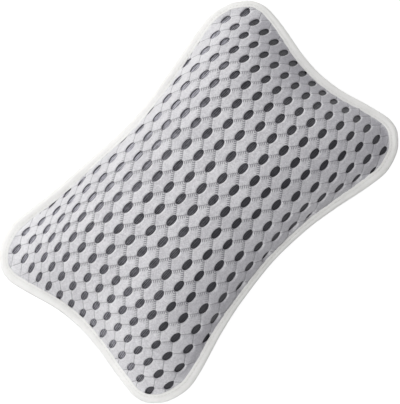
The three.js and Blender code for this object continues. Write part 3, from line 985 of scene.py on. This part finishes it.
def tape_weave(name, light, shade):
    p = Paint(name)
    _, u, v = p.uv("Tape")
    obj, _ = p.object_coords()
    rib = p.math("SINE", p.mul(u, 2 * math.pi / 0.62))
    pick = p.math("SINE", p.add(p.mul(v, 2 * math.pi / 0.8), p.mul(rib, 1.2)))
    weave = p.add(p.mul(rib, 0.55), p.mul(pick, 0.45))
    cloud = p.noise(90.0, 3.0, 0.55, obj)
    fuzz = p.noise(1400.0, 2.0, 0.6, obj)
    tone = p.add(p.mul(cloud, 0.65), p.mul(fuzz, 0.35))
    body = p.mix(p.ramp(tone, 0.28, 0.72), shade, light)
    colour = p.mix(p.ramp(weave, 0.8, -0.9, (0.0, 0.1)), body, rgb(0.62, 0.61, 0.58))
    height = p.add(p.mul(weave, 0.6), p.mul(fuzz, 0.4))
    p.set(Base_Color=colour, Roughness=p.ramp(tone, 0.2, 0.8, (0.92, 0.78)),
          Normal=p.bump(height, 0.35, 0.0002))
    p.set(Sheen_Weight=0.15, Sheen_Roughness=0.4, Specular_IOR_Level=0.3)
    return p.mat


def thread_twist():
    p = Paint("polyester_thread")
    _, u, v = p.uv("Tape")
    obj, _ = p.object_coords()
    ply = p.math("SINE", p.add(p.mul(u, 2 * math.pi / 0.7), p.mul(v, 2 * math.pi)))
    fuzz = p.noise(2200.0, 2.0, 0.6, obj)
    colour = p.mix(p.ramp(p.add(p.mul(ply, 0.3), fuzz), 0.2, 0.9), rgb(0.74, 0.735, 0.71), rgb(0.88, 0.875, 0.86))
    p.set(Base_Color=colour, Roughness=p.ramp(fuzz, 0.2, 0.8, (0.6, 0.45)),
          Normal=p.bump(p.add(ply, fuzz), 0.5, 0.0001))
    p.set(Sheen_Weight=0.2, Specular_IOR_Level=0.45)
    return p.mat


def open_foam():
    p = Paint("open_cell_foam")
    obj, _ = p.object_coords()
    pore_shade = p.voronoi(700.0, obj)
    cloud = p.noise(40.0, 3.0, 0.6, obj)
    body = p.mix(p.ramp(cloud, 0.3, 0.7), rgb(0.80, 0.73, 0.50), rgb(0.88, 0.82, 0.62))
    # Painted shade: the pores are painted darker than the foam.
    colour = p.mix(p.ramp(pore_shade, 0.45, 0.1), body, rgb(0.55, 0.48, 0.30))
    p.set(Base_Color=colour, Roughness=p.ramp(cloud, 0.2, 0.8, (1.0, 0.9)),
          Normal=p.bump(pore_shade, 0.8, 0.0006))
    p.set(Specular_IOR_Level=0.15)
    return p.mat


def fibre_fill():
    p = Paint("polyester_wadding")
    obj, _ = p.object_coords()
    lump = p.noise(55.0, 4.0, 0.65, obj)
    fibre = p.noise(500.0, 4.0, 0.7, obj)
    colour = p.mix(p.ramp(p.add(p.mul(lump, 0.5), p.mul(fibre, 0.5)), 0.3, 0.7), rgb(0.84, 0.84, 0.84), rgb(0.94, 0.94, 0.93))
    p.set(Base_Color=colour, Roughness=p.ramp(fibre, 0.2, 0.8, (1.0, 0.9)),
          Normal=p.bump(p.add(lump, p.mul(fibre, 0.4)), 0.9, 0.0015))
    p.set(Sheen_Weight=0.3, Specular_IOR_Level=0.15)
    return p.mat


def patch_cloth():
    p = Paint("patch_twill")
    obj, xyz = p.object_coords()
    twill = p.math("SINE", p.mul(p.add(xyz[0], xyz[1]), 2 * math.pi / 0.0011))
    warp = p.math("SINE", p.mul(xyz[0], 2 * math.pi / 0.0006))
    weave = p.add(p.mul(twill, 0.7), p.mul(warp, 0.3))
    cloud = p.noise(150.0, 3.0, 0.6, obj)
    body = p.mix(p.ramp(cloud, 0.3, 0.7), rgb(0.70, 0.70, 0.715), rgb(0.79, 0.79, 0.80))
    colour = p.mix(p.ramp(weave, 0.9, -0.9, (0.0, 0.25)), body, rgb(0.45, 0.45, 0.47))
    p.set(Base_Color=colour, Roughness=p.ramp(cloud, 0.2, 0.8, (0.9, 0.75)),
          Normal=p.bump(weave, 0.5, 0.0002))
    p.set(Sheen_Weight=0.12, Specular_IOR_Level=0.25)
    return p.mat


def moulded_plastic():
    p = Paint("moulded_acetal")
    obj, _ = p.object_coords()
    cloud = p.noise(70.0, 3.0, 0.6, obj)
    grain = p.noise(1600.0, 2.0, 0.6, obj)
    colour = p.mix(p.ramp(cloud, 0.3, 0.7), rgb(0.80, 0.80, 0.79), rgb(0.87, 0.87, 0.865))
    p.set(Base_Color=colour, Roughness=p.ramp(p.add(p.mul(cloud, 0.6), p.mul(grain, 0.4)), 0.3, 0.7, (0.28, 0.46)),
          Normal=p.bump(grain, 0.12, 0.0001))
    p.set(Specular_IOR_Level=0.5, IOR=1.48)
    return p.mat


def clear_vinyl():
    p = Paint("clear_vinyl")
    obj, _ = p.object_coords()
    cloud = p.noise(45.0, 3.0, 0.6, obj)
    scuff = p.noise(380.0, 4.0, 0.7, obj)
    colour = p.mix(p.ramp(cloud, 0.3, 0.7), rgb(0.80, 0.87, 0.90), rgb(0.90, 0.94, 0.95))
    p.set(Base_Color=colour, Roughness=p.ramp(scuff, 0.35, 0.75, (0.10, 0.30)),
          Normal=p.bump(cloud, 0.15, 0.0006))
    p.set(Transmission_Weight=0.72, IOR=1.52, Specular_IOR_Level=0.5)
    return p.mat


FACE = face_knit()
BASE = base_knit()
TAPE = tape_weave("binding_tape_weave", rgb(0.915, 0.91, 0.895), rgb(0.865, 0.86, 0.845))
THREAD = thread_twist()
FOAM = open_foam()
FILL = fibre_fill()
PATCH = patch_cloth()
PLASTIC = moulded_plastic()
VINYL = clear_vinyl()


def adopt(obj, body, slot_name, *nodes):
    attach(obj, body)
    if nodes:
        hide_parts(*nodes)
    return obj


# ---------------------------------------------------------------- panels and filling
front_face = adopt(mesh_panel("front_face_knit", 1, FACE, BASE), "pillow", "mesh_face", "front_mesh_face")
rear_face = adopt(mesh_panel("rear_face_knit", -1, FACE, BASE), "pillow", "mesh_face", "rear_mesh_face")


def polar_solid(name, top, bottom, cuts, materials, flange=None, shut=False, step=5, sharp=50):
    """The closed solid between two height functions over shares of the crown's edge."""
    ring = inset(FOOT_INSET)[::step]
    rim = inset(flange)[::step] if flange is not None else None
    n = len(ring)
    verts, starts = [], []
    for surface in (top, bottom):
        starts.append(len(verts))
        zero = np.zeros(1)
        verts.append((0.0, 0.0, float(surface(zero, zero, zero)[0])))
        for c in cuts:
            x, y = ring[:, 0] * c, ring[:, 1] * c
            verts += list(zip(x, y, surface(x, y, np.full(n, c))))
        if rim is not None:
            z = surface(ring[:, 0], ring[:, 1], np.ones(n)) + seam_z(rim[:, 0]) - seam_z(ring[:, 0])
            verts += list(zip(rim[:, 0], rim[:, 1], z))
    last = len(cuts) - 1 + (rim is not None)
    at = lambda w, r, k: starts[0 if shut and r == last else w] + 1 + r * n + k % n
    faces = []
    for k in range(n):
        faces.append((starts[0], at(0, 0, k + 1), at(0, 0, k)))
        faces.append((starts[1], at(1, 0, k), at(1, 0, k + 1)))
        for r in range(last):
            faces.append((at(0, r, k), at(0, r, k + 1), at(0, r + 1, k + 1), at(0, r + 1, k)))
            faces.append((at(1, r, k), at(1, r + 1, k), at(1, r + 1, k + 1), at(1, r, k + 1)))
        if not shut:
            faces.append((at(0, last, k), at(0, last, k + 1), at(1, last, k + 1), at(1, last, k)))
    verts = np.array(verts)
    if shut:  # the lower copy of the rim is not used
        keep = np.ones(len(verts), bool)
        keep[starts[1] + 1 + last * n : starts[1] + 1 + (last + 1) * n] = False
        renum = np.cumsum(keep) - 1
        faces = [tuple(int(renum[k]) for k in f) for f in faces]
        verts = verts[keep]
    return new_object(name, settle(verts), faces, materials, sharp=sharp)


def posts(radius, low, high, sides=48):
    """Four upright cylinders on the cups' axes, as one cutter."""
    verts, faces = [], []
    ang = np.linspace(0, 2 * np.pi, sides, endpoint=False)
    for cx, cy in CUPS:
        k = len(verts)
        for z in (low, high):
            verts += [(cx + radius * math.cos(a), cy + radius * math.sin(a), z) for a in ang]
        faces.append(tuple(range(k + sides - 1, k - 1, -1)))
        faces.append(tuple(range(k + sides, k + 2 * sides)))
        for s in range(sides):
            t = (s + 1) % sides
            faces.append((k + s, k + t, k + sides + t, k + sides + s))
    return new_object("cutter", verts, faces)


CUTS = list(np.linspace(0.035, 0.7, 20)) + list(np.linspace(0.72, 0.985, 20)) + [1.0]
base_depth = FACE_T + SPACER_GAP
packed_base = FACE_T + FLANGE_GAP
for side, label in ((1, "front"), (-1, "rear")):
    depth = FACE_T + 0.3 if side > 0 else base_depth  # the front one is pressed up by the filling
    outer = layer(side, depth, packed_base)
    inner = layer(side, depth + BASE_T, packed_base + BASE_T)
    hi, lo = (outer, inner) if side > 0 else (inner, outer)
    obj = polar_solid(label + "_base_knit", hi, lo, CUTS, [BASE], flange=FLANGE_INSET)
    if side < 0:
        boolean(obj, posts(6.9, 5, 25), "DIFFERENCE", 50)
    adopt(obj, "pillow", "mesh_base", label + "_mesh_base")


def core_height(side):
    crown = front_crown if side > 0 else rear_crown
    limit = CORE_TOP if side > 0 else CORE_BOTTOM

    def z(x, y, share):
        mid = seam_z(x)
        c = np.where(share < CORE_SHARE - 1e-9, crown(x / CORE_SHARE, y / CORE_SHARE), 0)
        return mid + c * (limit - mid)

    return z


def lumps(x, y, phase):
    return 0.5 + 0.5 * np.sin(x * 0.19 + 1.7 * np.sin(y * 0.11 + phase)) * np.sin(y * 0.23 + 1.3 * np.sin(x * 0.09 - phase))


core_cuts = [c * CORE_SHARE for c in list(np.linspace(0.04, 0.9, 22)) + [0.94, 0.97, 0.99, 1.0]]
core = polar_solid("cut_foam_core", core_height(1), core_height(-1), core_cuts, [FOAM], shut=True)
adopt(core, "pillow", "core_foam", "foam_core")

wad_depth, wad_packed = base_depth + BASE_T + WAD_GAP, packed_base + BASE_T + WAD_GAP
wad_cuts = [c for c in CUTS if c < WAD_SHARE - 0.004] + [WAD_SHARE]
under, over = layer(1, wad_depth, wad_packed), layer(-1, wad_depth, wad_packed)


def wad_top(x, y, s):
    lift = 0.8 * lumps(x, y, 0.4) * smooth((WAD_SHARE - s) / 0.2)
    return np.where(s >= WAD_SHARE - 1e-9, seam_z(x) + WAD_GAP, under(x, y, s) - lift)


def wad_bottom(x, y, s):
    lift = 0.8 * lumps(x, y, 2.1) * smooth((WAD_SHARE - s) / 0.2)
    return over(x, y, s) + lift


front_wad = polar_solid(
    "front_fibre_wadding", wad_top,
    lambda x, y, s: core_height(1)(x, y, s) + WAD_GAP, wad_cuts, [FILL], shut=True,
)
adopt(front_wad, "pillow", "wadding", "front_wadding")
rear_wad = polar_solid(
    "rear_fibre_wadding", lambda x, y, s: core_height(-1)(x, y, s) - WAD_GAP,
    wad_bottom, wad_cuts, [FILL], shut=True,
)
boolean(rear_wad, posts(12.5, 10, 45), "DIFFERENCE", 50)
adopt(rear_wad, "pillow", "wadding", "rear_wadding")


# -------------------------------------------------------------------- binding, stitches
BIND_TOP = [  # (out, up) over the folded tape, from its inner lip to the fold
    (-7.75, 2.58), (-7.75, 2.78), (-7.58, 2.97), (-7.15, 3.12), (-6.6, 3.2), (-6.1, 3.2),
    (-5.8, 3.17), (-5.5, 3.25), (-5.0, 3.45), (-4.2, 3.7), (-3.4, 3.82), (-2.7, 3.78),
    (-2.2, 3.62), (-1.9, 3.38), (-1.7, 3.28), (-1.5, 3.27), (-1.15, 3.1), (-0.8, 2.75),
    (-0.48, 2.2), (-0.2, 1.45), (-0.04, 0.5),
]
BIND_IN = [(-1.0, 0.0), (-1.12, 1.2), (-1.6, 2.3), (-2.4, 2.9), (-4.5, 3.0), (-6.2, 2.94)]
STITCH_AT, STITCH_STEP = -5.8, 3.3
N_STITCH = int(round(PERIMETER / STITCH_STEP))
STITCH_STEP = PERIMETER / N_STITCH


def edge_curve(n):
    pts, _ = outline_loop(n)
    return pts, normals_of(pts, max(2, n // 400))


def edge_point(pts, nrm, out, up):
    p = pts + nrm * np.asarray(out)[..., None]
    return np.stack([p[:, 0], p[:, 1], seam_z(p[:, 0]) + up], 1)


def tape_wave(s, out, up_sign):
    """Pucker at the stitches and the slow waviness of a sewn edge."""
    pucker = np.cos(2 * np.pi * s / STITCH_STEP) * np.exp(-(((out - STITCH_AT) / 0.9) ** 2))
    k = 2 * np.pi * s / PERIMETER
    slow = 0.5 * np.sin(9 * k + 0.6) + 0.3 * np.sin(23 * k + 2.0) + 0.2 * np.sin(41 * k + 1.1)
    return 0.11 * pucker + 0.12 * slow * np.exp(-(((out + 4) / 3.5) ** 2)) * up_sign


def make_binding():
    n = N_STITCH * 5
    pts, nrm = edge_curve(n)
    s = np.arange(n) * PERIMETER / n
    k = 2 * np.pi * s / PERIMETER
    lip = 0.10 * np.sin(17 * k) + 0.08 * np.sin(37 * k + 1.0) + 0.05 * np.sin(83 * k + 2.0)
    top = BIND_TOP
    section = [(o, u, 1) for o, u in top] + [(o, -u, -1) for o, u in top[::-1]]
    section += [(o, -u, 0) for o, u in BIND_IN[::-1]] + [(o, u, 0) for o, u in BIND_IN[1:]]
    verts = []
    for o, u, kind in section:
        out = np.full(n, float(o))
        if kind:
            out = out + lip * np.clip((-o - 6.0) / 1.4, 0, 1)
        up = np.full(n, float(u)) + (kind * tape_wave(s, o, 1.0) if kind else 0)
        verts.append(edge_point(pts, nrm, out, up))
    m = len(section)
    verts = settle(np.stack(verts, 1).reshape(-1, 3))
    arc = np.concatenate([[0], np.cumsum([math.dist(section[j][:2], section[j + 1][:2]) for j in range(m - 1)])])
    arc = np.append(arc, arc[-1] + math.dist(section[-1][:2], section[0][:2]))
    faces, uv = [], []
    for a in range(n):
        b = (a + 1) % n
        for j in range(m):
            q = (j + 1) % m
            faces.append((a * m + j, a * m + q, b * m + q, b * m + j))
            s0, s1 = a * PERIMETER / n, (a + 1) * PERIMETER / n
            uv += [(s0, arc[j]), (s0, arc[j + 1]), (s1, arc[j + 1]), (s1, arc[j])]
    tri = verts[np.array(faces)]
    mid = tri.mean(1)
    cross = np.cross(tri[:, 1] - tri[:, 0], tri[:, 2] - tri[:, 0])
    if (mid * cross).sum() < 0:
        faces = [f[::-1] for f in faces]
        uv = flipped(uv, faces)
    return new_object("edge_tape", verts, faces, [TAPE], uvs={"Tape": uv}, sharp=75)


def add_thread(verts, faces, uv, path, radius, sides=6):
    """One stitch: a tapered tube along path (a list of points)."""
    path = np.asarray(path, float)
    tan = np.gradient(path, axis=0)
    tan /= np.linalg.norm(tan, axis=1)[:, None]
    up = np.array([0, 0, 1.0])
    n = len(path)
    start = len(verts)
    run = np.concatenate([[0], np.cumsum(np.linalg.norm(np.diff(path, axis=0), axis=1))])
    for k in range(n):
        a = np.cross(up, tan[k])
        a /= np.linalg.norm(a)
        b = np.cross(tan[k], a)
        t = k / (n - 1)
        r = radius * (0.55 + 0.45 * math.sin(math.pi * t) ** 0.5)
        for j in range(sides):
            w = 2 * math.pi * j / sides
            verts.append(path[k] + r * (math.cos(w) * a + math.sin(w) * b))
    for k in range(n - 1):
        for j in range(sides):
            q = (j + 1) % sides
            faces.append((start + k * sides + j, start + k * sides + q, start + (k + 1) * sides + q, start + (k + 1) * sides + j))
            uv += [(run[k], j / sides), (run[k], (j + 1) / sides), (run[k + 1], (j + 1) / sides), (run[k + 1], j / sides)]
    faces.append(tuple(start + j for j in range(sides - 1, -1, -1)))
    faces.append(tuple(start + (n - 1) * sides + j for j in range(sides)))
    uv += [(0, j / sides) for j in range(sides - 1, -1, -1)]
    uv += [(run[-1], j / sides) for j in range(sides)]


def make_topstitch():
    n = N_STITCH * 20
    pts, nrm = edge_curve(n)
    verts, faces, uv = [], [], []
    for face in (1, -1):
        for k in range(N_STITCH):
            span = np.arange(k * 20 + 2, k * 20 + 19, 2) % n
            t = np.linspace(-1, 1, len(span))
            up = 3.17 + 0.18 - 0.5 * np.abs(t) ** 4
            p = edge_point(pts[span], nrm[span], np.full(len(span), STITCH_AT), face * up)
            add_thread(verts, faces, uv, p, 0.27)
    return new_object("binding_topstitch", settle(verts), faces, [THREAD], uvs={"Tape": uv}, sharp=80)


binding = adopt(make_binding(), "pillow", "binding_tape", "edge_binding")
topstitch = adopt(make_topstitch(), "pillow", "binding_tape")


# --------------------------------------------------------- patches, eyelets and cups
PATCH_PROFILE = [(6.9, 14.02), (12.4, 14.02), (13.6, 14.0), (14.4, 14.22), (15.2, 14.0), (16.6, 14.05),
                 (17.0, 14.3), (16.9, 14.72), (12.0, 14.72), (6.9, 14.72)]
EYELET_PROFILE = [(5.0, 12.6), (10.4, 12.6), (11.0, 13.05), (11.0, 13.72), (6.5, 13.72), (6.5, 19.8),
                  (8.4, 19.8), (8.4, 20.25), (7.9, 20.6), (5.0, 20.6)]
WASHER_PROFILE = [(6.8, 18.7), (11.0, 18.7), (11.0, 19.5), (6.8, 19.5)]
CUP_PROFILE = [(0.0, 8.2), (4.0, 8.16), (7.0, 7.95), (10.0, 7.35), (12.5, 6.6), (15.2, 5.6), (17.5, 4.6), (19.4, 3.4),
               (21.0, 2.2), (22.6, 0.0), (25.0, 0.0), (25.25, 0.8), (23.6, 2.4), (21.6, 4.4), (19.0, 6.4),
               (16.6, 7.95), (14.0, 9.2), (11.5, 10.25), (9.0, 11.0), (8.2, 11.9), (4.2, 11.9), (4.2, 21.0),
               (7.2, 21.0), (7.4, 22.2), (6.2, 24.4), (3.2, 25.6), (0.0, 26.0)]


def cup_tab(centre, angle):
    """The release tab: a rounded tongue with soft edges."""
    w, start, end = 5.5, 23.0, 27.5
    arc = [(end + w * math.cos(a), w * math.sin(a)) for a in np.linspace(-math.pi / 2, math.pi / 2, 25)]
    outline = [(start, -w), (start + 2.2, -w)] + arc + [(start + 2.2, w), (start, w)]
    o = np.array(outline)
    mid = np.array([start + 3, 0.0])

    def shrunk(d):
        v = o - mid
        ln = np.linalg.norm(v, axis=1)[:, None]
        q = mid + v * (1 - d / ln)
        q[[0, -1], 0] = start
        return q

    rows = [(0.5, 0.7), (0.15, 0.82), (0.0, 1.1), (0.0, 1.7), (0.15, 1.98), (0.5, 2.1)]
    verts, faces = [], []
    n = len(o)
    ca, sa = math.cos(angle), math.sin(angle)
    for d, z in rows:
        q = shrunk(d)
        verts += [(centre[0] + ca * x - sa * y, centre[1] + sa * x + ca * y, z) for x, y in q]
    for r in range(len(rows) - 1):
        for k in range(n):
            t = (k + 1) % n
            faces.append((r * n + k, r * n + t, (r + 1) * n + t, (r + 1) * n + k))
    faces.append(tuple(range(n - 1, -1, -1)))
    faces.append(tuple(range((len(rows) - 1) * n, len(rows) * n)))
    return new_object("tab", verts, faces)


patch_thread = ([], [], [])
for k, (cx, cy) in enumerate(CUPS):
    n = str(k + 1)
    patch = turned("sewn_patch_" + n, soften(PATCH_PROFILE, 0.3, 3), 96, (cx, cy), [PATCH], sharp=60)
    adopt(patch, "pillow", "patch_cloth", "cup_patch_" + n)
    eyelet = turned("snap_eyelet_" + n, soften(EYELET_PROFILE, 0.35, 4), 72, (cx, cy), [PLASTIC], sharp=50)
    adopt(eyelet, "pillow", "eyelet_plastic", "cup_eyelet_" + n)
    washer = turned("snap_washer_" + n, soften(WASHER_PROFILE, 0.2, 4), 72, (cx, cy), [PLASTIC], sharp=50)
    adopt(washer, "pillow", "eyelet_plastic", "cup_washer_" + n)
    cup = turned("vinyl_cup_" + n, soften(CUP_PROFILE, 0.5, 4, closed=False), 96, (cx, cy), [VINYL], closed=False, sharp=45)
    angle = math.atan2(0.55 * (1 if cy > 0 else -1), 1 if cx > 0 else -1)
    boolean(cup, cup_tab((cx, cy), angle), "UNION", 45)
    adopt(cup, "cup_" + n, "cup_vinyl", "suction_cup_" + n)
    stitches = 32
    for q in range(stitches):
        a0 = 2 * math.pi * q / stitches
        t = np.linspace(0.12, 0.88, 7)
        a = a0 + t * 2 * math.pi / stitches
        z = 14.14 + 0.3 * np.abs(2 * (t - 0.12) / 0.76 - 1) ** 4
        add_thread(*patch_thread, np.stack([cx + 14.4 * np.cos(a), cy + 14.4 * np.sin(a), z], 1), 0.24)
stitch_rings = new_object("patch_stitching", patch_thread[0], patch_thread[1], [THREAD], uvs={"Tape": patch_thread[2]}, sharp=80)
adopt(stitch_rings, "pillow", "patch_cloth")


# ------------------------------------------------------------------ floor, light, camera
def floor_paint():
    p = Paint("pale_floor")
    obj, _ = p.object_coords()
    cloud = p.noise(3.0, 2.0, 0.5, obj)
    p.set(Base_Color=p.mix(p.ramp(cloud, 0.2, 0.8), rgb(0.19, 0.19, 0.19), rgb(0.21, 0.21, 0.21)),
          Roughness=p.ramp(cloud, 0.2, 0.8, (0.9, 0.8)))
    p.set(Specular_IOR_Level=0.1, Emission_Color=rgb(1, 1, 1), Emission_Strength=0.93)
    return p.mat


floor = new_object("floor", [(-4000, -4000, -0.4), (4000, -4000, -0.4), (4000, 4000, -0.4), (-4000, 4000, -0.4)], [(0, 1, 2, 3)], [floor_paint()])
floor.visible_diffuse = False  # a lit backdrop that doesn't light the part

world = bpy.data.worlds.new("studio")
scene.world = world
world.use_nodes = True
world.node_tree.nodes["Background"].inputs[0].default_value = rgb(1.0, 1.0, 1.0)
sky = world.node_tree
above = sky.nodes.new("ShaderNodeSeparateXYZ")
sky.links.new(sky.nodes.new("ShaderNodeTexCoord").outputs["Generated"], above.inputs[0])
fade = sky.nodes.new("ShaderNodeMapRange")  # little light comes from below the table's edge
for k, v in zip(("From Min", "From Max", "To Min", "To Max"), (-0.25, 0.25, 0.05, 0.24)):
    fade.inputs[k].default_value = v
sky.links.new(above.outputs["Z"], fade.inputs["Value"])
sky.links.new(fade.outputs["Result"], sky.nodes["Background"].inputs["Strength"])


def area_light(name, place, aim, size, power, colour=(1, 1, 1)):
    data = bpy.data.lights.new(name, "AREA")
    data.shape, data.size, data.energy, data.color = "DISK", size, power, colour
    obj = bpy.data.objects.new(name, data)
    obj.location = place
    obj.rotation_mode = "QUATERNION"
    obj.rotation_quaternion = (Vector(aim) - Vector(place)).to_track_quat("-Z", "Y")
    scene.collection.objects.link(obj)


area_light("key", (0.0, 1.081, 0.433), (0, 0, 0.04), 0.7, 8.4)
area_light("top", (-0.393, 0.0, 1.121), (0, 0, 0.04), 0.7, 4.7)
area_light("left", (-1.081, 0.0, 0.433), (0, 0, 0.04), 0.7, 2.2)
area_light("low", (-0.764, -0.764, 0.433), (0, 0, 0.04), 0.7, 3.5)
area_light("right", (1.081, 0.0, 0.433), (0, 0, 0.04), 0.7, 3.5)

roll, tilt_right, tilt_down = math.radians(46.912), math.radians(4.615), math.radians(9.461)
FOCAL, AWAY = 1401.375, 1100.0
right = Vector((math.cos(roll), -math.sin(roll), 0))
up = Vector((math.sin(roll), math.cos(roll), 0))
back = (Vector((0, 0, 1)) + math.tan(tilt_right) * right - math.tan(tilt_down) * up).normalized()
cam_x = (-back).cross(up).normalized()
cam_y = cam_x.cross(-back)
aim = Vector((0, 0, 50.0)) + cam_x * (1.887 / FOCAL * AWAY) - cam_y * (7.049 / FOCAL * AWAY)
data = bpy.data.cameras.new("camera")
data.sensor_fit, data.sensor_width = "HORIZONTAL", 36.0
data.lens = 36.0 * FOCAL / 400
data.clip_start, data.clip_end = 0.05, 20
camera = bpy.data.objects.new("camera", data)
place = (aim + back * AWAY) * MM
camera.matrix_world = Matrix((
    (cam_x.x, cam_y.x, back.x, place.x),
    (cam_x.y, cam_y.y, back.y, place.y),
    (cam_x.z, cam_y.z, back.z, place.z),
    (0, 0, 0, 1),
))
scene.collection.objects.link(camera)
scene.camera = camera
scene.view_settings.view_transform = "Standard"
scene.view_settings.look = "None"

bpy.context.view_layer.update()
